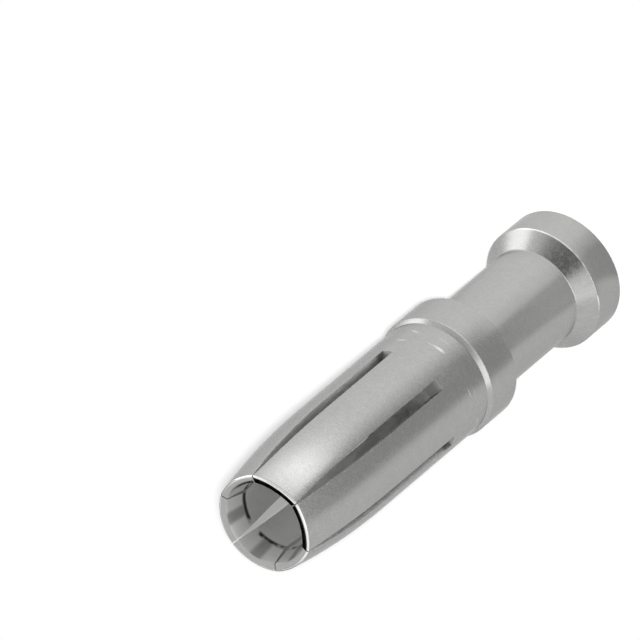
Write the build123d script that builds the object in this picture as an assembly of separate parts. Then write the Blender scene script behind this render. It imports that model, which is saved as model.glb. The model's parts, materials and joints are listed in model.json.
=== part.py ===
from build123d import *
import os
from math import acos, cos, degrees, pi, radians, sin, sqrt, tan

# Turned crimp socket contact, one piece of silver-plated copper alloy.
# It stands on its rear end, with its axis on Z and its mouth at the top.
# All sizes are in millimetres and all angles in degrees.

# Socket end, which grips a round mating pin
pin_diameter = 4.0
bore_clearance = 0.18
finger_wall = 0.76
socket_length = 14.0
slot_length = 11.3
slot_width = 0.57
finger_count = 6
mouth_gap = 0.04
nose_length = 6.2
tip_round = 0.16
lead_in_length = 1.1
lead_in_angle = 20.0
gauge_mark = 0.025

# Saw that cuts the slots between the fingers
saw_diameter = 12.0
saw_overrun = 1.6

# Collar that seats the contact in its insulator
collar_length = 2.2
collar_step = 0.16
collar_lead = 0.24
collar_break = 0.08

# Crimp end, with its neck, its flared head and the bore for the wire
crimp_bore_diameter = 3.5
crimp_bore_depth = 9.0
crimp_wall = 0.65
neck_length = 6.0
neck_root = 0.2
head_length = 1.8
head_angle = 40.0
head_break = 0.1
wire_chamfer = 0.3

# Solid left between the drill point of the crimp bore and the flat floor of the socket bore
web_thickness = 1.25
drill_angle = 118.0

# Radii that follow from the sizes above
bore_radius = pin_diameter / 2 + bore_clearance
tube_radius = bore_radius + finger_wall
collar_radius = tube_radius + collar_step
head_radius = collar_radius
crimp_radius = crimp_bore_diameter / 2
neck_radius = crimp_radius + crimp_wall

# Heights above the rear face
cone_top = head_length + (head_radius - neck_radius) / tan(radians(head_angle))
collar_bottom = cone_top + neck_length
collar_top = collar_bottom + collar_length
mouth_height = collar_top + socket_length
slot_root = mouth_height - slot_length
nose_base = mouth_height - nose_length
crimp_tip = crimp_bore_depth + crimp_radius / tan(radians(drill_angle / 2))
socket_floor = crimp_tip + web_thickness

# Each finger is closed inwards over its nose until the slots all but shut at the mouth.
# The outside of the nose is one arc that leaves the straight tube without a kink.
half_pitch = pi / finger_count
tip_closing = (slot_width - mouth_gap) / (2 * sin(half_pitch))
nose_radius = (nose_length**2 + tip_closing**2) / (2 * tip_closing)
nose_angle = acos(1 - tip_closing / nose_radius)
nose_axis = Axis((tube_radius - nose_radius, 0, nose_base), (0, -1, 0))

# The lead-in meets the bent bore at the throat, the narrowest place of the socket.
bore_bend_radius = nose_radius - finger_wall
throat_angle = nose_angle - lead_in_length / bore_bend_radius
throat_radius = bore_radius - bore_bend_radius * (1 - cos(throat_angle))
gauge_radius = throat_radius + gauge_mark


def turned(points):
    """A face in the XZ plane, drawn through (radius, height) points."""
    return Plane.XZ * make_face(Polyline(*points, close=True))


def rounded(face, radius, height, size):
    """The face with its corner at this radius and height rounded."""
    corner = face.vertices().sort_by_distance((radius, 0, height))[0]
    return fillet(corner, size)


def blank():
    """The outside of the contact up to the noses of the fingers, as it leaves the lathe."""
    face = turned(
        [
            (0, 0),
            (head_radius, 0),
            (head_radius, head_length),
            (neck_radius, cone_top),
            (neck_radius, collar_bottom),
            (collar_radius, collar_bottom),
            (collar_radius, collar_top - collar_lead),
            (tube_radius, collar_top),
            (tube_radius, nose_base),
            (0, nose_base),
        ]
    )
    face = rounded(face, head_radius, 0, head_break)
    face = rounded(face, head_radius, head_length, head_break)
    face = rounded(face, neck_radius, cone_top, neck_root)
    face = rounded(face, neck_radius, collar_bottom, neck_root)
    face = rounded(face, collar_radius, collar_bottom, collar_break)
    return revolve(face, Axis.Z)


def crimp_bore():
    """The blind bore for the wire, chamfered where the strands go in."""
    face = turned(
        [
            (0, 0),
            (crimp_radius + wire_chamfer, 0),
            (crimp_radius, wire_chamfer),
            (crimp_radius, crimp_bore_depth),
            (0, crimp_tip),
        ]
    )
    return revolve(face, Axis.Z)


def socket_bore():
    """The blind bore for the mating pin, below the noses of the fingers, with a flat floor."""
    depth = nose_base - socket_floor
    return Pos(0, 0, socket_floor + depth / 2) * Cylinder(bore_radius, depth)


def slot_cut():
    """One slot, sawn from the side and on to the mouth, with the saw's curved run-out at its root."""
    saw_radius = saw_diameter / 2
    saw_centre = saw_radius - saw_overrun
    centre_height = slot_root + sqrt(saw_radius**2 - (saw_centre - tube_radius) ** 2)
    feed = mouth_height
    disc = Pos(saw_centre, centre_height) * Circle(saw_radius)
    path = Pos(saw_centre, centre_height + feed / 2) * Rectangle(saw_diameter, feed)
    return extrude(Plane.XZ * (disc + path), amount=slot_width / 2, both=True)


def nose():
    """The bent end of one finger, with its tip rounded and its lead-in cut."""
    apex = slot_width / 2 / sin(half_pitch)
    reach = 2 * tube_radius
    side = (apex + reach * cos(half_pitch), reach * sin(half_pitch))
    sector = make_face(Polyline((apex, 0), side, (side[0], -side[1]), close=True))
    section = (Circle(tube_radius) - Circle(bore_radius)) & sector
    bent = revolve(Pos(0, 0, nose_base) * section, nose_axis, degrees(nose_angle))
    tip_face = bent.faces().sort_by(Axis.Z)[-1]
    outer_edge = tip_face.edges().filter_by(GeomType.CIRCLE).sort_by(SortBy.RADIUS)[-1]
    bent = fillet(outer_edge, tip_round)
    lead_in_depth = lead_in_length * tan(radians(lead_in_angle))
    lead_in = Pos(0, 0, nose_base - lead_in_length / 2) * Cone(
        bore_radius, bore_radius + lead_in_depth, lead_in_length
    )
    return bent - lead_in.rotate(nose_axis, degrees(nose_angle))


def gauge_pin():
    """The gauge pin that the fingers are closed on, which leaves a narrow land at the throat."""
    return Pos(0, 0, nose_base + nose_length / 2) * Cylinder(gauge_radius, nose_length)


def socket_contact():
    contact = blank() - crimp_bore() - socket_bore()
    pitch = 360 / finger_count
    for finger in range(finger_count):
        contact -= slot_cut().rotate(Axis.Z, (finger + 0.5) * pitch)
    noses = [nose().rotate(Axis.Z, finger * pitch) for finger in range(finger_count)]
    return contact + noses - gauge_pin()


os.makedirs("parts", exist_ok=True)
export_step(socket_contact(), "parts/socket_contact.step")
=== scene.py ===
import json
from math import acos, cos, hypot, pi, radians, sin, sqrt, tan
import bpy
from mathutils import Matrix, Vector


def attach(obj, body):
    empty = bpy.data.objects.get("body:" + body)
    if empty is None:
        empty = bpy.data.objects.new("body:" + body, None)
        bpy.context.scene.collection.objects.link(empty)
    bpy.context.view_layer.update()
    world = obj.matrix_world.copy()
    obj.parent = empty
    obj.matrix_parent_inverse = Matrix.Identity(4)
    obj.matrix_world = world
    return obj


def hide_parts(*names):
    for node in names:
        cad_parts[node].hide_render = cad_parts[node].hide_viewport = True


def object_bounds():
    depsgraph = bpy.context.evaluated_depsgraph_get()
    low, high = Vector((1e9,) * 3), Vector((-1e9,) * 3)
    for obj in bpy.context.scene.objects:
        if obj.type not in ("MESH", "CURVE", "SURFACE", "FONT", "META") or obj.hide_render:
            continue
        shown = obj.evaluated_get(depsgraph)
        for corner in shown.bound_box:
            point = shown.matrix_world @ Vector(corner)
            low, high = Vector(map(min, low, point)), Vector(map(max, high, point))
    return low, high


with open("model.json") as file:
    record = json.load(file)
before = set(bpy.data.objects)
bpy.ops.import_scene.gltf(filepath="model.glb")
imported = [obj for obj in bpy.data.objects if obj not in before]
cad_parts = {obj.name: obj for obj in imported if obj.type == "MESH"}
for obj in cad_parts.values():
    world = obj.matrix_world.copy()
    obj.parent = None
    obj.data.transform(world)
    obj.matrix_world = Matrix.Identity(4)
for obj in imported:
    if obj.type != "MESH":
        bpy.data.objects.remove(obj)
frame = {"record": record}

from types import SimpleNamespace

import bmesh
import bpy
from bpy.props import FloatProperty, FloatVectorProperty, PointerProperty
from mathutils import Matrix, Vector

bl_info = {
    "name": "Crimp Socket Contact",
    "version": (1, 0, 0),
    "blender": (4, 5, 0),
    "location": "View3D > Sidebar > Contact",
    "description": "Models a turned crimp socket contact with silver plating, and the stage it stands on",
    "category": "Add Mesh",
}

# The contact stands on its rear face, with its axis on Z and its mouth at the top.
# Sizes are in metres in the sidebar. The mesh is modelled in millimetres and scaled at the end.
MM = 0.001
CAD_LOW, CAD_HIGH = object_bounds()
MOUNTS = {mount["name"]: mount for mount in frame["record"]["mounts"]}

FINGERS = 6
HALF_PITCH = pi / FINGERS

# Columns of faces round one finger's share, rows along its nose, and steps round a corner and along a card
COLUMNS = 36
NOSE_ROWS = 36
CORNER_STEPS = 5
CARD_STEPS = 24

# Points nearer than this, in millimetres, are merged, and an edge that turns more than this is sharp.
MERGE = 0.0005
SHARP = radians(28.0)

# Places of the materials on the contact's mesh
OUTSIDE, INSIDE, SAWN, EDGES, ENDS = range(5)

# Cells in a millimetre of the plating's patterns, from its grain to the patches of painted highlight on its
# edges; the blotches at the throat and deep in the socket are painted shade
GRAIN, GRAIN_PATCHES = 6.0, 2.6
SPECKS, THROAT_SHADE, DEEP_SHADE, HIGHLIGHT_PATCHES = 1.5, 0.7, 0.65, 0.33

# Pitch of the turning marks and depth of the plating's relief, in millimetres
TURNING_PITCH = 0.14
RELIEF_DEPTH = 0.0007

# Heights in millimetres far below and far above the contact, for a band with one end
BELOW_ALL, ABOVE_ALL = -1000.0, 1000.0

# The picture is square. Its width and the middle of the mouth are in pixels, from the upper left corner.
PICTURE_WIDTH = 640
MOUTH_PIXEL = (263.4, 524.3)

# The floor's reach from the axis, and how far the camera sees, in metres
FLOOR_REACH = 2.0
CAMERA_REACH = 100.0


def size(name, description, default):
    """A size in metres that the sidebar shows as a length."""
    return FloatProperty(
        name=name, description=description, default=default, min=0.0, precision=5, unit="LENGTH"
    )


def angle(name, description, default):
    """An angle that the sidebar shows in degrees."""
    return FloatProperty(name=name, description=description, default=radians(default), subtype="ANGLE")


def share(name, description, default):
    """A value from 0 to 1."""
    return FloatProperty(
        name=name, description=description, default=default, min=0.0, max=1.0, subtype="FACTOR"
    )


def strength(name, description, default):
    """The strength of a light."""
    return FloatProperty(name=name, description=description, default=default, min=0.0)


def colour(name, description, default):
    """A colour that the sidebar shows as a swatch."""
    return FloatVectorProperty(
        name=name, description=description, default=default, size=3, min=0.0, max=1.0, subtype="COLOR"
    )


def mount_radius(name):
    """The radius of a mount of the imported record, in metres."""
    return MOUNTS[name]["dims"]["r_mm"] * MM


def mount_height(name):
    """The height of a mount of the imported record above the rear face, in metres."""
    return MOUNTS[name]["pos_m"][2]


class ContactSizes(bpy.types.PropertyGroup):
    """Sizes of the turned body and of its six fingers."""

    height: size("Height", "From the rear face to the tips of the fingers", CAD_HIGH.z)
    head_radius: size("Head radius", "Radius of the flared rear end", CAD_HIGH.x)
    head_length: size("Head length", "Length of the head before its cone", 0.0018)
    head_break: size("Head break", "Radius on the edges of the head", 0.0001)
    head_angle: angle("Head angle", "Slope of the cone between head and neck", 40.0)
    neck_radius: size("Neck radius", "Radius of the crimp barrel", mount_radius("retention_neck"))
    neck_root: size("Neck root", "Radius in the corners of the neck", 0.0002)
    collar_bottom: size("Collar bottom", "Height of the collar's rear face", mount_height("collar_shoulder"))
    collar_radius: size("Collar radius", "Radius of the seating collar", mount_radius("collar"))
    collar_length: size("Collar length", "Length of the collar with its chamfer", 0.0022)
    collar_lead: size("Collar lead", "Length of the chamfer on the collar's front edge", 0.00024)
    collar_front_break: size("Collar front break", "Radius where the collar meets its chamfer", 0.00005)
    collar_break: size("Collar break", "Radius on the rear edge of the collar", 0.00008)
    crimp_radius: size("Crimp bore", "Radius of the bore for the wire", mount_radius("crimp_bore"))
    crimp_depth: size("Crimp depth", "Depth of the bore for the wire", 0.009)
    wire_chamfer: size("Wire chamfer", "Chamfer where the wire goes in", 0.0003)
    drill_angle: angle("Drill angle", "Point angle of the drill that bored the crimp end", 118.0)
    web: size("Web", "Solid left between the two bores", 0.00125)
    bore_radius: size("Socket bore", "Radius of the bore behind the sprung fingers", 0.00218)
    finger_wall: size("Finger wall", "Thickness of the slotted tube", 0.00076)
    slot_length: size("Slot length", "From the mouth to the root of a slot, outside", 0.0113)
    slot_width: size("Slot width", "Width that the saw leaves between two fingers", 0.00057)
    mouth_gap: size("Mouth gap", "What is left of a slot where the fingers close", 0.00004)
    saw_radius: size("Saw radius", "Radius of the saw that cuts the slots", 0.006)
    saw_overrun: size("Saw overrun", "How far the saw passes beyond the axis", 0.0016)
    nose_length: size("Nose length", "Height over which each finger bends inwards", 0.0062)
    tip_round: size("Tip rounding", "Radius on the outer edge of a finger's tip", 0.000075)
    lead_in_length: size("Lead-in length", "Length of the cone that guides the pin", 0.0011)
    lead_in_angle: angle("Lead-in angle", "Slope of the cone that guides the pin", 20.0)
    edge_break: size("Edge break", "Width of the worn bevel on sawn edges", 0.000035)


class PlatingLook(bpy.types.PropertyGroup):
    """Colours and gloss of the silver plating."""

    silver: colour("Silver", "Colour of the satin plating outside", (0.405, 0.405, 0.4))
    # The bores, the sides of the slots and the lead-ins have the outside's plating, painted lighter to stand
    # in for light
    bored_silver: colour("Bored silver", "Colour of the plating in the bores", (0.86, 0.86, 0.85))
    sawn_silver: colour("Sawn silver", "Colour of the plating on the sides of the slots", (0.68, 0.68, 0.67))
    lead_in_silver: colour("Lead-in silver", "Colour of the cones that guide the pin", (0.8, 0.8, 0.79))
    # Real wear on the dashes in front of the collar; on the edges this colour is a painted highlight
    worn_silver: colour("Worn silver", "Colour where the plating is rubbed bright", (0.86, 0.86, 0.85))
    # Real specks take this colour, and so does the painted shade at the throat, deep in the socket, on the
    # lead-ins and at the slot roots
    tarnish: colour("Tarnish", "Colour of the dark marks", (0.06, 0.06, 0.058))
    roughness: share("Roughness", "How far the plating scatters a reflection", 0.27)
    bored_roughness: share("Bored roughness", "How far the plating scatters a reflection in the bores", 0.58)
    sawn_roughness: share("Sawn roughness", "How far the sides of the slots scatter a reflection", 0.45)
    # Gloss of the edges, which carry the painted highlight
    worn_roughness: share("Worn roughness", "How far the rubbed edges scatter a reflection", 0.22)
    end_roughness: share("End roughness", "How far the ends of the fingers scatter a reflection", 0.13)
    edge_tint: colour("Edge tint", "Tint of the plating seen at a glancing angle", (0.7, 0.7, 0.7))
    mottling: share("Mottling", "How far the grain varies the colour", 0.12)
    dash_wear: share("Dashes", "How bright the dashes rubbed in front of the collar are", 0.8)
    speck_stain: share("Specks", "How dark the specks outside are", 0.35)
    # Painted shade deep in the socket
    smudge_stain: share("Smudges", "How dark the smudges deep in the socket are", 0.22)
    # Painted shade in bands on the lead-ins
    band_stain: share("Lead-in bands", "How dark the bands on the lead-ins are", 0.5)
    # Painted shade at the roots of the slots
    root_stain: share("Slot roots", "How dark the roots of the slots are", 0.55)


class StageLook(bpy.types.PropertyGroup):
    """Camera and surroundings of the stage."""

    azimuth: angle("Azimuth", "Direction of the camera round the axis", 5.5)
    elevation: angle("Elevation", "Height of the camera above the floor", 43.5)
    roll: angle("Roll", "Turn of the camera about its line of sight", -129.95)
    lens: FloatProperty(name="Lens", description="Focal length in millimetres", default=1500.0, min=1.0)
    frame_width: size("Frame width", "Width that the picture takes in at the mouth", 0.0290)
    floor: colour("Floor", "Colour of the floor", (0.8, 0.8, 0.8))
    floor_glow: strength("Floor glow", "White that the floor adds where it is seen", 0.24)
    tent: strength("Tent", "Light that the white tent gives", 0.18)
    key_angle: angle("Key angle", "Width of the key lamp in the sky, which softens the shadow", 1.6)
    key: strength("Key light", "Strength of the lamp that shines from the camera's direction", 3.6)


def contact_plan():
    """Radii and heights in millimetres that follow from the sizes."""
    sizes = bpy.context.scene.contact_sizes
    plan = SimpleNamespace()
    for name in ContactSizes.__annotations__:
        value = getattr(sizes, name)
        setattr(plan, name, value if name.endswith("_angle") else value / MM)
    plan.tube_radius = plan.bore_radius + plan.finger_wall
    plan.collar_top = plan.collar_bottom + plan.collar_length
    plan.cone_top = plan.head_length + (plan.head_radius - plan.neck_radius) / tan(plan.head_angle)
    plan.crimp_tip = plan.crimp_depth + plan.crimp_radius / tan(plan.drill_angle / 2)
    plan.socket_floor = plan.crimp_tip + plan.web

    # The fingers close until the slots all but shut, along one arc that leaves the tube without a kink.
    tip_closing = (plan.slot_width - plan.mouth_gap) / (2 * sin(HALF_PITCH))
    plan.nose_radius = (plan.nose_length**2 + tip_closing**2) / (2 * tip_closing)
    plan.nose_angle = acos(1 - tip_closing / plan.nose_radius)
    plan.nose_axis = plan.tube_radius - plan.nose_radius
    plan.mouth = plan.height + plan.tip_round * (sin(plan.nose_angle) + cos(plan.nose_angle) - 1)
    plan.nose_base = plan.mouth - plan.nose_length
    plan.tip = plan.nose_base + plan.nose_radius * plan.nose_angle

    # The throat is where the lead-in meets the bent bore.
    throat_turn = plan.nose_angle - plan.lead_in_length / plan.nose_radius
    plan.throat = plan.nose_base + (plan.bore_radius - plan.nose_axis) * sin(throat_turn)

    # The saw's rim leaves the root of a slot a little higher inside than outside.
    plan.slot_root = plan.mouth - plan.slot_length
    saw_centre = plan.saw_radius - plan.saw_overrun
    outer_rim = sqrt(plan.saw_radius**2 - (saw_centre - plan.tube_radius) ** 2)
    inner_rim = sqrt(plan.saw_radius**2 - (saw_centre - plan.bore_radius) ** 2)
    plan.slot_root_inside = plan.slot_root + outer_rim - inner_rim
    return plan


def turned_chain(mesh, corners):
    """Edges through (radius, height, rounding) corners in the XZ plane, with the roundings made."""
    points = [mesh.verts.new((radius, 0, height)) for radius, height, rounding in corners]
    for lower, upper in zip(points, points[1:]):
        mesh.edges.new((lower, upper))
    for point, (radius, height, rounding) in zip(points, corners):
        if rounding:
            bmesh.ops.bevel(
                mesh,
                geom=[point],
                offset=rounding,
                offset_type="OFFSET",
                segments=CORNER_STEPS,
                profile=0.5,
                affect="VERTICES",
                material=-1,
            )


def contact_outline(plan):
    """The turned outline with straight fingers, from the drill point round to the socket's floor."""
    lead_in_depth = plan.lead_in_length * tan(plan.lead_in_angle)
    root_setback = plan.neck_root * tan(plan.head_angle / 2)
    return [
        (0, plan.crimp_tip, 0),
        (plan.crimp_radius, plan.crimp_depth, 0),
        (plan.crimp_radius, plan.wire_chamfer, 0),
        (plan.crimp_radius + plan.wire_chamfer, 0, 0),
        (plan.head_radius, 0, plan.head_break),
        (plan.head_radius, plan.head_length, plan.head_break * tan(plan.head_angle / 2)),
        (plan.neck_radius, plan.cone_top, root_setback),
        (plan.neck_radius, plan.collar_bottom, plan.neck_root),
        (plan.collar_radius, plan.collar_bottom, plan.collar_break),
        (plan.collar_radius, plan.collar_top - plan.collar_lead, plan.collar_front_break),
        (plan.tube_radius, plan.collar_top, 0),
        (plan.tube_radius, plan.slot_root, 0),
        (plan.tube_radius, plan.nose_base, 0),
        (plan.tube_radius, plan.tip, plan.tip_round),
        (plan.bore_radius + lead_in_depth, plan.tip, 0),
        (plan.bore_radius, plan.tip - plan.lead_in_length, 0),
        (plan.bore_radius, plan.nose_base, 0),
        (plan.bore_radius, plan.slot_root_inside, 0),
        (plan.bore_radius, plan.socket_floor, 0),
        (0, plan.socket_floor, 0),
    ]


def saw_slots(mesh, plan):
    """Cuts the one-sixth body back to its half slots and closes the sawn sides of its finger."""
    middle = (plan.bore_radius + plan.tube_radius) / 2
    for side in (1, -1):
        away = Vector((-sin(HALF_PITCH), side * cos(HALF_PITCH), 0))
        sawn = -plan.slot_width / 2

        def above_root(face):
            centre = face.calc_center_median()
            outside = hypot(centre.x, centre.y) > middle
            return centre.z > (plan.slot_root if outside else plan.slot_root_inside)

        fingers = [face for face in mesh.faces if above_root(face)]
        edges = {edge for face in fingers for edge in face.edges}
        verts = {vert for face in fingers for vert in face.verts}
        bmesh.ops.bisect_plane(
            mesh, geom=fingers + list(edges) + list(verts), dist=MERGE, plane_co=away * sawn, plane_no=away
        )
        waste = [
            face for face in mesh.faces if above_root(face) and face.calc_center_median().dot(away) > sawn
        ]
        bmesh.ops.delete(mesh, geom=waste, context="FACES")
        rim = [
            edge
            for edge in mesh.edges
            if edge.is_boundary and all(abs(vert.co.dot(away) - sawn) < 2 * MERGE for vert in edge.verts)
        ]
        bmesh.ops.contextual_create(mesh, geom=rim)


def bend_nose(mesh, plan):
    """Bends the finger inwards, row by row, from the base of its nose to its tip."""
    for row in range(1, NOSE_ROWS):
        height = plan.nose_base + (plan.tip - plan.nose_base) * row / NOSE_ROWS
        geometry = mesh.verts[:] + mesh.edges[:] + mesh.faces[:]
        bmesh.ops.bisect_plane(mesh, geom=geometry, dist=MERGE, plane_co=(0, 0, height), plane_no=(0, 0, 1))
    rows = {}
    for vert in mesh.verts:
        if vert.co.z > plan.nose_base + MERGE:
            rows.setdefault(round(vert.co.z, 4), []).append(vert)
    hinge = Vector((plan.nose_axis, 0, plan.nose_base))
    for height, verts in rows.items():
        turn = (height - plan.nose_base) / plan.nose_radius
        bmesh.ops.translate(mesh, verts=verts, vec=(0, 0, plan.nose_base - height))
        bmesh.ops.rotate(mesh, verts=verts, cent=hinge, matrix=Matrix.Rotation(turn, 3, (0, -1, 0)))


def facing_out(face):
    """How far a face looks away from the axis, from 1 to -1 for one that looks straight at it."""
    centre = face.calc_center_median()
    return face.normal.dot(Vector((centre.x, centre.y, 0)).normalized())


def break_edges(mesh, plan):
    """Takes the sharpness off the edges of the fingers and gives the bevels their materials."""
    edges = [
        edge
        for edge in mesh.edges
        if min(vert.co.z for vert in edge.verts) > plan.slot_root - MERGE
        and edge.is_manifold
        and edge.calc_face_angle() > SHARP
    ]
    broken = bmesh.ops.bevel(
        mesh,
        geom=edges,
        offset=plan.edge_break,
        offset_type="OFFSET",
        segments=2,
        profile=0.5,
        affect="EDGES",
        material=-1,
        clamp_overlap=True,
    )
    inward, upward = -0.3, 0.4
    for face in broken["faces"]:
        if face.calc_center_median().z > plan.slot_root_inside + plan.slot_width:
            inner_finish = ENDS if face.normal.z > upward else SAWN
            face.material_index = inner_finish if facing_out(face) < inward else EDGES


def mark_turned_edges(mesh, plan):
    """Gives the rounded edges of head, collar and tip, and the finger's end, their own materials."""
    rounded = (
        (plan.head_length, plan.head_radius, plan.head_break / 2),
        (plan.collar_bottom, plan.collar_radius, plan.collar_break),
        (plan.tip, plan.tube_radius, plan.tip_round),
    )
    for face in mesh.faces:
        centre = face.calc_center_median()
        radius = hypot(centre.x, centre.y)
        if centre.z > plan.tip - MERGE:
            face.material_index = ENDS
            continue
        for edge_height, edge_radius, reach in rounded:
            if abs(centre.z - edge_height) < reach and radius > edge_radius - reach:
                face.material_index = EDGES


def mark_inside(mesh, plan):
    """Gives the bores and the sawn faces of the slots their own materials."""
    # The wall of a bore looks straight at the axis, a sawn face more to the side.
    straight_in, inward, outward = -0.9, -0.02, 0.6
    for face in mesh.faces:
        if face.material_index != OUTSIDE:
            continue
        centre = face.calc_center_median()
        slotted = centre.z > plan.slot_root - plan.edge_break
        bored = not slotted and hypot(centre.x, centre.y) < plan.bore_radius
        if slotted and straight_in < facing_out(face) < outward:
            face.material_index = SAWN
        elif bored or facing_out(face) < inward:
            face.material_index = INSIDE


def finished_piece(name, mesh):
    """An object made of this mesh, in metres, smooth between its sharp edges."""
    bmesh.ops.scale(mesh, vec=(MM, MM, MM), verts=mesh.verts)
    data = bpy.data.meshes.new(name)
    mesh.to_mesh(data)
    mesh.free()
    data.shade_smooth()
    data.set_sharp_from_angle(angle=SHARP)
    piece = bpy.data.objects.new(name, data)
    bpy.context.scene.collection.objects.link(piece)
    return piece


class CONTACT_OT_body(bpy.types.Operator):
    """Turns the contact's body, saws its slots and closes its six fingers"""

    bl_idname = "contact.body"
    bl_label = "Contact Body"

    def execute(self, context):
        plan = contact_plan()
        mesh = bmesh.new()
        turned_chain(mesh, contact_outline(plan))
        axis = {"cent": (0, 0, 0), "axis": (0, 0, 1)}
        bmesh.ops.rotate(mesh, verts=mesh.verts, cent=(0, 0, 0), matrix=Matrix.Rotation(-HALF_PITCH, 3, "Z"))
        bmesh.ops.spin(mesh, geom=mesh.verts[:] + mesh.edges[:], angle=2 * HALF_PITCH, steps=COLUMNS, **axis)
        bmesh.ops.remove_doubles(mesh, verts=mesh.verts, dist=MERGE)
        saw_slots(mesh, plan)
        mark_turned_edges(mesh, plan)
        bend_nose(mesh, plan)
        geometry = mesh.verts[:] + mesh.edges[:] + mesh.faces[:]
        rest = 2 * HALF_PITCH * (FINGERS - 1)
        bmesh.ops.spin(mesh, geom=geometry, angle=rest, steps=FINGERS - 1, use_duplicate=True, **axis)
        bmesh.ops.remove_doubles(mesh, verts=mesh.verts, dist=MERGE)
        bmesh.ops.holes_fill(mesh, edges=[edge for edge in mesh.edges if edge.is_boundary], sides=0)
        bmesh.ops.recalc_face_normals(mesh, faces=mesh.faces)
        break_edges(mesh, plan)
        mark_inside(mesh, plan)
        body = finished_piece("contact_body", mesh)
        effects = plating_effects()
        for plating in PLATINGS:
            body.data.materials.append(plating(context.scene.plating_look, plan, effects))
        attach(body, "root")
        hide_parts("socket_contact")
        return {"FINISHED"}


def new_material(name):
    """An empty node material and its node tree."""
    material = bpy.data.materials.new(name)
    material.use_nodes = True
    material.node_tree.nodes.clear()
    return material, material.node_tree


def add_node(tree, kind, inputs, **settings):
    """A node of this kind, with its settings made and its inputs set or linked."""
    node = tree.nodes.new(kind)
    for name, value in settings.items():
        setattr(node, name, value)
    for name, value in inputs.items():
        if isinstance(value, bpy.types.NodeSocket):
            tree.links.new(value, node.inputs[name])
        else:
            node.inputs[name].default_value = value
    return node


def calculate(tree, operation, first, second=0.0, third=0.0):
    """The result of a Math node."""
    return add_node(tree, "ShaderNodeMath", {0: first, 1: second, 2: third}, operation=operation).outputs[0]


def product(tree, first, *others):
    """The product of masks and numbers."""
    for other in others:
        first = calculate(tree, "MULTIPLY", first, other)
    return first


def blend_colour(tree, factor, first, second, blend_type="MIX"):
    """The result of a colour Mix node."""
    settings = {"data_type": "RGBA", "blend_type": blend_type}
    return add_node(tree, "ShaderNodeMix", {0: factor, 6: first, 7: second}, **settings).outputs[2]


def new_group(name, inputs, outputs):
    """A shader node group with these sockets, and the sockets that its nodes start from and end at."""
    kinds = {"value": "NodeSocketFloat", "vector": "NodeSocketVector", "colour": "NodeSocketColor"}
    group = bpy.data.node_groups.new(name, "ShaderNodeTree")
    for label, kind in inputs.items():
        group.interface.new_socket(name=label, in_out="INPUT", socket_type=kinds[kind])
    for label, kind in outputs.items():
        group.interface.new_socket(name=label, in_out="OUTPUT", socket_type=kinds[kind])
    return group, group.nodes.new("NodeGroupInput").outputs, group.nodes.new("NodeGroupOutput").inputs


def satin_grain_group():
    """Fine grain and soft patches of tumbled plating, as a shade round 1 and a height."""
    inputs = {"Vector": "vector", "Mottling": "value"}
    group, given, result = new_group("satin_grain", inputs, {"Shade": "value", "Height": "value"})
    noise = {"Vector": given["Vector"], "Scale": GRAIN / MM, "Detail": 1.5, "Roughness": 0.5}
    fine = add_node(group, "ShaderNodeTexNoise", noise).outputs["Fac"]
    noise = {"Vector": given["Vector"], "Scale": GRAIN_PATCHES / MM, "Detail": 1.0}
    patches = add_node(group, "ShaderNodeTexNoise", noise).outputs["Fac"]
    fine_share, patch_share = 1.2, 0.8
    both = calculate(group, "ADD", product(group, fine, fine_share), product(group, patches, patch_share))
    spread = product(group, calculate(group, "SUBTRACT", both, 1.0), given["Mottling"])
    group.links.new(calculate(group, "ADD", spread, 1.0), result["Shade"])
    group.links.new(fine, result["Height"])
    return group


def turning_marks_group():
    """Faint rings that the lathe tool leaves round the axis."""
    inputs = {"Vector": "vector", "Pitch": "value"}
    group, given, result = new_group("turning_marks", inputs, {"Height": "value"})
    height = add_node(group, "ShaderNodeSeparateXYZ", {"Vector": given["Vector"]}).outputs["Z"]
    rings = {"W": calculate(group, "DIVIDE", height, given["Pitch"]), "Scale": 1.0, "Detail": 3.0}
    noise = add_node(group, "ShaderNodeTexNoise", rings, noise_dimensions="1D")
    group.links.new(noise.outputs["Fac"], result["Height"])
    return group


def height_band_group():
    """A mask of the surface between two heights, with soft ends."""
    inputs = {"Vector": "vector", "Low": "value", "High": "value", "Softness": "value"}
    group, given, result = new_group("height_band", inputs, {"Mask": "value"})
    height = add_node(group, "ShaderNodeSeparateXYZ", {"Vector": given["Vector"]}).outputs["Z"]
    above_low = calculate(group, "SUBTRACT", height, given["Low"])
    below_high = calculate(group, "SUBTRACT", given["High"], height)
    masks = []
    for distance in (above_low, below_high):
        ramp = calculate(group, "DIVIDE", distance, given["Softness"])
        ramp = calculate(group, "ADD", ramp, 0.5)
        masks.append(add_node(group, "ShaderNodeClamp", {"Value": ramp}).outputs["Result"])
    group.links.new(product(group, *masks), result["Mask"])
    return group


def blotches_group():
    """A mask of irregular blotches, drawn out along the axis by a stretch."""
    inputs = {"Vector": "vector", "Scale": "value", "Stretch": "value", "Cover": "value"}
    group, given, result = new_group("blotches", inputs, {"Mask": "value"})
    along = calculate(group, "DIVIDE", 1.0, given["Stretch"])
    stretch = add_node(group, "ShaderNodeCombineXYZ", {"X": 1.0, "Y": 1.0, "Z": along}).outputs["Vector"]
    factors = {0: given["Vector"], 1: stretch}
    vector = add_node(group, "ShaderNodeVectorMath", factors, operation="MULTIPLY").outputs["Vector"]
    noise = {"Vector": vector, "Scale": given["Scale"], "Detail": 3.0, "Roughness": 0.65}
    cloud = add_node(group, "ShaderNodeTexNoise", noise).outputs["Fac"]
    edge = calculate(group, "SUBTRACT", 1.0, given["Cover"])
    softness = 0.12
    limits = {"Value": cloud, "From Min": edge, "From Max": calculate(group, "ADD", edge, softness)}
    mask = add_node(group, "ShaderNodeMapRange", limits, interpolation_type="SMOOTHSTEP").outputs["Result"]
    group.links.new(mask, result["Mask"])
    return group


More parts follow.
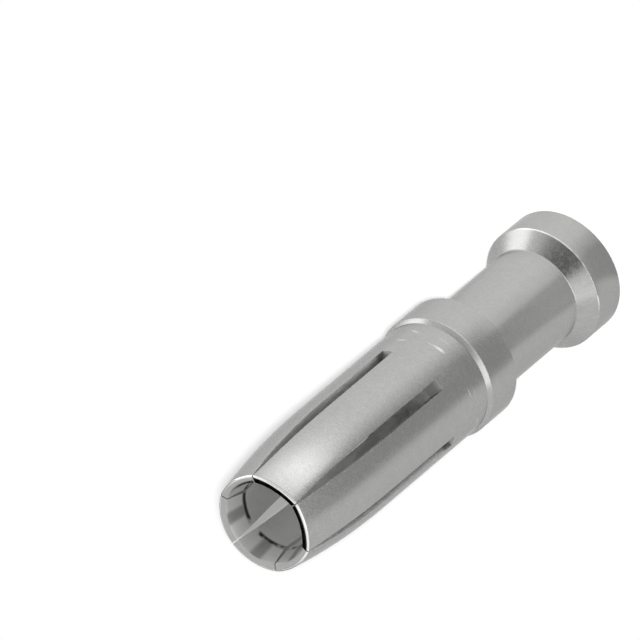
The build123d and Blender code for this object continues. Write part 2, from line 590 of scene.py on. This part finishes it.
def satin_plating_group(grain, marks):
    """Silver plating with grain and turning marks, brighter where the masks say for real wear and for
    painted light, and darker where they say for real stains and for painted shade.
    """
    inputs = {
        "Vector": "vector",
        "Silver": "colour",
        "Worn Silver": "colour",
        "Tarnish": "colour",
        "Roughness": "value",
        "Mottling": "value",
        "Bump": "value",
        "Worn": "value",
        "Stained": "value",
    }
    outputs = {"Color": "colour", "Roughness": "value", "Normal": "vector"}
    group, given, result = new_group("satin_plating", inputs, outputs)
    values = {"Vector": given["Vector"], "Mottling": given["Mottling"]}
    satin = add_node(group, "ShaderNodeGroup", values, node_tree=grain).outputs
    values = {"Vector": given["Vector"], "Pitch": TURNING_PITCH * MM}
    lathe = add_node(group, "ShaderNodeGroup", values, node_tree=marks).outputs
    shaded = blend_colour(group, 1.0, given["Silver"], satin["Shade"], "MULTIPLY")
    rubbed = blend_colour(group, given["Worn"], shaded, given["Worn Silver"])
    group.links.new(blend_colour(group, given["Stained"], rubbed, given["Tarnish"]), result["Color"])
    least_share, grain_share, ring_share = 0.75, 0.5, 0.6
    dulled = calculate(group, "MULTIPLY_ADD", satin["Height"], grain_share, least_share)
    group.links.new(product(group, given["Roughness"], dulled), result["Roughness"])
    relief = calculate(group, "ADD", satin["Height"], product(group, lathe["Height"], ring_share))
    bump = {"Strength": given["Bump"], "Distance": RELIEF_DEPTH * MM, "Height": relief}
    group.links.new(add_node(group, "ShaderNodeBump", bump).outputs["Normal"], result["Normal"])
    return group


def object_point(tree):
    """The place on the contact, which turns and moves with it."""
    return add_node(tree, "ShaderNodeTexCoord", {}).outputs["Object"]


def plating_effects():
    """The shader node groups that the platings share."""
    effects = SimpleNamespace(band=height_band_group(), blotches=blotches_group())
    effects.plating = satin_plating_group(satin_grain_group(), turning_marks_group())
    return effects


def height_band(tree, effects, low, high, softness):
    """A mask between two heights, with all three in millimetres."""
    values = {"Vector": object_point(tree), "Low": low * MM, "High": high * MM, "Softness": softness * MM}
    return add_node(tree, "ShaderNodeGroup", values, node_tree=effects.band).outputs["Mask"]


def blotched(tree, effects, cells, cover, stretch=1.0):
    """A mask of blotches, with so many cells in a millimetre."""
    values = {"Vector": object_point(tree), "Scale": cells / MM, "Stretch": stretch, "Cover": cover}
    return add_node(tree, "ShaderNodeGroup", values, node_tree=effects.blotches).outputs["Mask"]


def turn_round_axis(tree):
    """The angle round the axis and the height of a place on the contact."""
    place = add_node(tree, "ShaderNodeSeparateXYZ", {"Vector": object_point(tree)}).outputs
    return calculate(tree, "ARCTAN2", place["Y"], place["X"]), place["Z"]


def rubbed_dashes(tree):
    """A mask of short bright scratches round the axis, such as the insulator's seat rubs."""
    turn, height = turn_round_axis(tree)
    cells_round, pitch = 2.2, 0.22 * MM
    flat = {"X": product(tree, turn, cells_round), "Y": calculate(tree, "DIVIDE", height, pitch), "Z": 0.0}
    vector = add_node(tree, "ShaderNodeCombineXYZ", flat).outputs["Vector"]
    noise = {"Vector": vector, "Scale": 1.0, "Detail": 1.0}
    cloud = add_node(tree, "ShaderNodeTexNoise", noise).outputs["Fac"]
    faint, full = 0.66, 0.78
    limits = {"Value": cloud, "From Min": faint, "From Max": full}
    return add_node(tree, "ShaderNodeMapRange", limits).outputs["Result"]


def finger_shade_bands(tree):
    """A mask along the middle of each finger, for the bands of painted shade on the lead-ins."""
    turn = turn_round_axis(tree)[0]
    wave = calculate(tree, "COSINE", product(tree, turn, FINGERS))
    faint, full = 0.35, 0.95
    limits = {"Value": wave, "From Min": faint, "From Max": full}
    return add_node(tree, "ShaderNodeMapRange", limits, interpolation_type="SMOOTHSTEP").outputs["Result"]


def plated_material(name, effects, look, silver, worn_silver, roughness, bump):
    """Silver plating in one finish, its node tree, and the inputs that its masks are to be linked to."""
    material, tree = new_material(name)
    finish = {
        "Vector": object_point(tree),
        "Silver": (*silver, 1),
        "Worn Silver": (*worn_silver, 1),
        "Tarnish": (*look.tarnish, 1),
        "Roughness": roughness,
        "Mottling": look.mottling,
        "Bump": bump,
    }
    group = add_node(tree, "ShaderNodeGroup", finish, node_tree=effects.plating)
    surface = {
        "Base Color": group.outputs["Color"],
        "Metallic": 1.0,
        "Specular Tint": (*look.edge_tint, 1),
        "Roughness": group.outputs["Roughness"],
        "Normal": group.outputs["Normal"],
    }
    shader = add_node(tree, "ShaderNodeBsdfPrincipled", surface)
    add_node(tree, "ShaderNodeOutputMaterial", {"Surface": shader.outputs["BSDF"]})
    return material, tree, group.inputs


def outside_plating(look, plan, effects):
    """The satin outside, with dashes rubbed in front of the collar and a few dark specks."""
    silvers = {"silver": look.silver, "worn_silver": look.worn_silver}
    surface = {"roughness": look.roughness, "bump": 1.0}
    material, tree, masks = plated_material("silver_plating", effects, look, **silvers, **surface)
    seat_start, seat_end = plan.collar_top + 0.6, plan.collar_top + 2.3
    seat = height_band(tree, effects, seat_start, seat_end, softness=0.3)
    tree.links.new(product(tree, rubbed_dashes(tree), seat, look.dash_wear), masks["Worn"])
    specks = blotched(tree, effects, SPECKS, cover=0.24)
    tree.links.new(product(tree, specks, look.speck_stain), masks["Stained"])
    return material


def inside_plating(look, plan, effects):
    """The dull bores, painted lighter than the outside, with the lead-ins in their own colour, also painted
    lighter, and painted shade in blotches at the throat and deep in the socket and in bands on the lead-ins.
    """
    silvers = {"silver": look.bored_silver, "worn_silver": look.lead_in_silver}
    surface = {"roughness": look.bored_roughness, "bump": 1.0}
    material, tree, masks = plated_material("bored_silver_plating", effects, look, **silvers, **surface)
    # The lead-ins' own colour, painted lighter than the outside
    lead_in = height_band(tree, effects, plan.throat, ABOVE_ALL, softness=0.12)
    tree.links.new(lead_in, masks["Worn"])
    # Painted shade in blotches along the throat, where the lead-in meets the bore
    dirt_start, dirt_end = plan.throat - 0.13, plan.throat + 0.1
    throat = height_band(tree, effects, dirt_start, dirt_end, softness=0.12)
    throat_shade = product(tree, throat, blotched(tree, effects, THROAT_SHADE, cover=0.66))
    # Painted shade in blotches deep in the socket, below the noses
    deep_shade_end = plan.nose_base - 1.0
    deep = height_band(tree, effects, BELOW_ALL, deep_shade_end, softness=1.0)
    deep_shade = blotched(tree, effects, DEEP_SHADE, cover=0.5, stretch=2.2)
    deep_shade = product(tree, deep_shade, deep, look.smudge_stain)
    # Painted shade in bands along the middle of each lead-in
    bands = product(tree, finger_shade_bands(tree), lead_in, look.band_stain)
    stains = calculate(tree, "MAXIMUM", calculate(tree, "MAXIMUM", throat_shade, deep_shade), bands)
    tree.links.new(stains, masks["Stained"])
    return material


def sawn_plating(look, plan, effects):
    """The sides of the slots, painted lighter than the outside, with painted shade at their roots."""
    silvers = {"silver": look.sawn_silver, "worn_silver": look.worn_silver}
    surface = {"roughness": look.sawn_roughness, "bump": 1.5}
    material, tree, masks = plated_material("sawn_silver_plating", effects, look, **silvers, **surface)
    # Painted shade at the roots of the slots
    roots_end = plan.slot_root_inside + 0.25
    roots = height_band(tree, effects, BELOW_ALL, roots_end, softness=0.2)
    tree.links.new(product(tree, roots, look.root_stain), masks["Stained"])
    return material


def edge_plating(look, plan, effects):
    """The edges, with a painted highlight on the noses of the fingers and in patches elsewhere."""
    silvers = {"silver": look.silver, "worn_silver": look.worn_silver}
    surface = {"roughness": look.worn_roughness, "bump": 0.5}
    material, tree, masks = plated_material("worn_silver_plating", effects, look, **silvers, **surface)
    # Painted highlight: all over the noses, and in patches below
    noses = height_band(tree, effects, plan.nose_base, ABOVE_ALL, softness=1.0)
    patches = blotched(tree, effects, HIGHLIGHT_PATCHES, cover=0.5)
    tree.links.new(calculate(tree, "MAXIMUM", noses, patches), masks["Worn"])
    return material


def end_plating(look, plan, effects):
    """The faced ends of the fingers, smooth and clean."""
    silvers = {"silver": look.silver, "worn_silver": look.worn_silver}
    surface = {"roughness": look.end_roughness, "bump": 0.0}
    return plated_material("faced_silver_plating", effects, look, **silvers, **surface)[0]


# The platings in the order of their places on the mesh
PLATINGS = (outside_plating, inside_plating, sawn_plating, edge_plating, end_plating)


def round_axis(azimuth, elevation=0.0):
    """The direction from the axis at this azimuth, where 0 is the front and the angle grows towards +X."""
    flat = cos(elevation)
    return Vector((sin(azimuth) * flat, -cos(azimuth) * flat, sin(elevation)))


def seen(tree):
    """A mask of the rays that the camera, metal or glass sees the surroundings by."""
    path = add_node(tree, "ShaderNodeLightPath", {}).outputs
    camera_or_metal = calculate(tree, "MAXIMUM", path["Is Camera Ray"], path["Is Glossy Ray"])
    return calculate(tree, "MAXIMUM", camera_or_metal, path["Is Transmission Ray"])


def floor_material(look):
    """A pale matt floor that adds white where it is seen and keeps the contact's shadow."""
    material, tree = new_material("floor")
    glow = add_node(tree, "ShaderNodeMapRange", {"Value": seen(tree), "To Max": look.floor_glow})
    surface = {
        "Base Color": (*look.floor, 1),
        "Roughness": 1.0,
        "Specular IOR Level": 0.0,
        "Emission Color": (1, 1, 1, 1),
        "Emission Strength": glow.outputs["Result"],
    }
    shader = add_node(tree, "ShaderNodeBsdfPrincipled", surface)
    add_node(tree, "ShaderNodeOutputMaterial", {"Surface": shader.outputs["BSDF"]})
    return material


def card_material(name, first, last):
    """A material that shades a card evenly from its first end to its last."""
    material, tree = new_material(name)
    along = add_node(tree, "ShaderNodeAttribute", {}, attribute_name="along").outputs["Fac"]
    shade = add_node(tree, "ShaderNodeMapRange", {"Value": along, "To Min": first, "To Max": last})
    shader = add_node(tree, "ShaderNodeEmission", {"Strength": shade.outputs["Result"]})
    add_node(tree, "ShaderNodeOutputMaterial", {"Surface": shader.outputs["Emission"]})
    return material


def bent_card(name, azimuths, near, far):
    """A card bent round the axis between two (radius, height) points, hidden from the camera."""
    mesh = bmesh.new()
    along = mesh.verts.layers.float.new("along")
    chain = [mesh.verts.new((0, -radius, height)) for radius, height in (near, far)]
    edge = mesh.edges.new(chain)
    start, stop = (radians(value) for value in azimuths)
    bmesh.ops.rotate(mesh, verts=chain, cent=(0, 0, 0), matrix=Matrix.Rotation(start, 3, "Z"))
    axis = {"cent": (0, 0, 0), "axis": (0, 0, 1)}
    bmesh.ops.spin(mesh, geom=[*chain, edge], angle=stop - start, steps=CARD_STEPS, **axis)
    for index, vert in enumerate(mesh.verts):
        vert[along] = index // 2 / CARD_STEPS
    bmesh.ops.scale(mesh, vec=(MM, MM, MM), verts=mesh.verts)
    data = bpy.data.meshes.new(name)
    mesh.to_mesh(data)
    mesh.free()
    card = bpy.data.objects.new(name, data)
    bpy.context.scene.collection.objects.link(card)
    card.visible_camera = False
    card.visible_diffuse = False
    card.visible_transmission = False
    return card


def reflection_card(name, azimuths, near, far, shades):
    """A card that only reflections show."""
    card = bent_card(name, azimuths, near, far)
    card.data.materials.append(card_material(name, *shades))
    card.visible_shadow = False


def shadow_flag(name, azimuths, near, far):
    """A flag that only casts a shadow."""
    bent_card(name, azimuths, near, far).visible_glossy = False


# Each card's name, its first and last azimuth in degrees, its near and far edge as (radius, height) in
# millimetres, and the light that it gives at its first and last azimuth.
# The first five stand off in the room. The others lie on the floor and are painted reflections: the camera
# sees the floor white there, the metal sees these cards lighter or darker, and where two overlap the higher
# shows.
CARDS = (
    ("left_softbox", (90, 131), (120, 0.5), (400, 150), (2.4, 2.4)),
    ("right_softbox", (-57, -16), (400, 42), (372, 152), (2.3, 2.3)),
    ("right_low_softbox", (-16, 0), (400, 42), (380, 130), (1.7, 1.7)),
    ("camera_flag", (-11, 70), (361, 172), (250, 312), (0.0, 0.0)),
    ("back_flag", (-225, -125), (400, 5), (324, 235), (0.0, 0.0)),
    ("back_floor", (-194, -155), (30, 0.03), (400, 0.03), (0.35, 0.35)),
    ("front_flag", (-45, 4), (3.1, 0.02), (60, 0.02), (0.5, 0.5)),
    ("front_fade", (4, 38), (3.1, 0.02), (60, 0.02), (0.5, 1.2)),
    ("left_floor", (38, 100), (3.1, 0.02), (60, 0.02), (1.18, 1.12)),
    ("left_edge", (100, 140), (3.1, 0.02), (60, 0.02), (1.12, 0.98)),
    ("front_edge", (-55, -45), (3.1, 0.02), (60, 0.02), (0.93, 0.5)),
    ("right_floor", (-135, -55), (3.1, 0.02), (60, 0.02), (0.95, 0.95)),
    # Painted shadow: this card darkens towards the shadow beside the foot, as the head reflects it
    ("foot_fade", (-170, -135), (3.1, 0.04), (9, 0.04), (0.45, 0.95)),
    ("nose_light", (14, 50), (37, 0.03), (52, 0.03), (3.0, 3.0)),
    ("nose_fade", (50, 92), (37, 0.03), (52, 0.03), (3.0, 1.1)),
    ("neck_flag", (-45, 4), (3.1, 0.04), (8.8, 0.04), (0.7, 0.7)),
    ("neck_fade", (4, 40), (3.1, 0.04), (11, 0.04), (1.0, 1.2)),
    ("neck_left", (40, 120), (3.1, 0.04), (11, 0.04), (1.2, 1.15)),
    ("head_flag", (-26, 3), (3.1, 0.06), (5.1, 0.06), (0.57, 0.57)),
    ("head_fade", (3, 26), (3.1, 0.06), (5.1, 0.06), (0.57, 1.15)),
    ("head_edge", (-34, -26), (3.1, 0.06), (5.1, 0.06), (0.9, 0.57)),
    ("head_right", (-70, -34), (3.1, 0.06), (5.1, 0.06), (0.93, 0.9)),
)

# Without this flag the key lamp shines into the mouth and out of the far slot.
SLOT_FLAG = ("slot_flag", (171, 189), (3.05, 11), (3.05, 23.9))


class CONTACT_OT_stage(bpy.types.Operator):
    """Lays the pale floor, hangs the tent and its cards, and sets up the camera"""

    bl_idname = "contact.stage"
    bl_label = "Stage"

    def execute(self, context):
        look = context.scene.stage_look
        self.lay_floor(look)
        self.hang_tent(look)
        self.place_camera(look)
        return {"FINISHED"}

    def lay_floor(self, look):
        mesh = bmesh.new()
        bmesh.ops.create_grid(mesh, x_segments=1, y_segments=1, size=FLOOR_REACH)
        data = bpy.data.meshes.new("floor")
        mesh.to_mesh(data)
        mesh.free()
        floor = bpy.data.objects.new("floor", data)
        floor.location.z = CAD_LOW.z
        floor.data.materials.append(floor_material(look))
        bpy.context.scene.collection.objects.link(floor)

    def hang_tent(self, look):
        world = bpy.data.worlds.new("tent")
        bpy.context.scene.world = world
        world.use_nodes = True
        tree = world.node_tree
        background = tree.nodes["Background"]
        background.inputs["Color"].default_value = (1, 1, 1, 1)
        brightness = add_node(tree, "ShaderNodeMapRange", {"Value": seen(tree), "To Min": look.tent})
        tree.links.new(brightness.outputs["Result"], background.inputs["Strength"])
        for card in CARDS:
            reflection_card(*card)
        shadow_flag(*SLOT_FLAG)
        lamp = bpy.data.lights.new("key_light", "SUN")
        lamp.energy = look.key
        lamp.angle = look.key_angle
        key = bpy.data.objects.new("key_light", lamp)
        key.rotation_euler = round_axis(look.azimuth, look.elevation).to_track_quat("Z", "Y").to_euler()
        key.visible_glossy = False
        bpy.context.scene.collection.objects.link(key)

    def place_camera(self, look):
        data = bpy.data.cameras.new("camera")
        data.lens = look.lens
        data.clip_end = CAMERA_REACH
        camera = bpy.data.objects.new("camera", data)
        bpy.context.scene.collection.objects.link(camera)
        back = round_axis(look.azimuth, look.elevation)
        turn = (-back).to_track_quat("-Z", "Y").to_matrix() @ Matrix.Rotation(look.roll, 3, "Z")
        right, up = turn.col[0], turn.col[1]
        scale = look.frame_width / PICTURE_WIDTH
        mouth = Vector((0, 0, CAD_HIGH.z))
        mouth_x, mouth_y = MOUTH_PIXEL
        middle = PICTURE_WIDTH / 2
        aim = mouth - right * (mouth_x - middle) * scale - up * (middle - mouth_y) * scale
        distance = look.frame_width * data.lens / data.sensor_width
        camera.matrix_world = Matrix.Translation(aim + back * distance) @ turn.to_4x4()
        bpy.context.scene.camera = camera


class CONTACT_PT_panel(bpy.types.Panel):
    """Lists the steps that build the contact and its stage"""

    bl_idname = "CONTACT_PT_panel"
    bl_label = "Crimp Socket Contact"
    bl_space_type = "VIEW_3D"
    bl_region_type = "UI"
    bl_category = "Contact"

    def draw(self, context):
        layout = self.layout
        for operator in OPERATORS:
            layout.operator(operator.bl_idname)


OPERATORS = (CONTACT_OT_body, CONTACT_OT_stage)
GROUPS = {"contact_sizes": ContactSizes, "plating_look": PlatingLook, "stage_look": StageLook}


def register():
    for group in GROUPS.values():
        bpy.utils.register_class(group)
    for name, group in GROUPS.items():
        setattr(bpy.types.Scene, name, PointerProperty(type=group))
    for operator in OPERATORS:
        bpy.utils.register_class(operator)
    bpy.utils.register_class(CONTACT_PT_panel)


def unregister():
    bpy.utils.unregister_class(CONTACT_PT_panel)
    for operator in reversed(OPERATORS):
        bpy.utils.unregister_class(operator)
    for name, group in GROUPS.items():
        delattr(bpy.types.Scene, name)
        bpy.utils.unregister_class(group)


def main():
    register()
    bpy.context.scene.view_settings.view_transform = "Standard"
    bpy.ops.contact.body()
    bpy.ops.contact.stage()


if __name__ == "__main__":
    main()
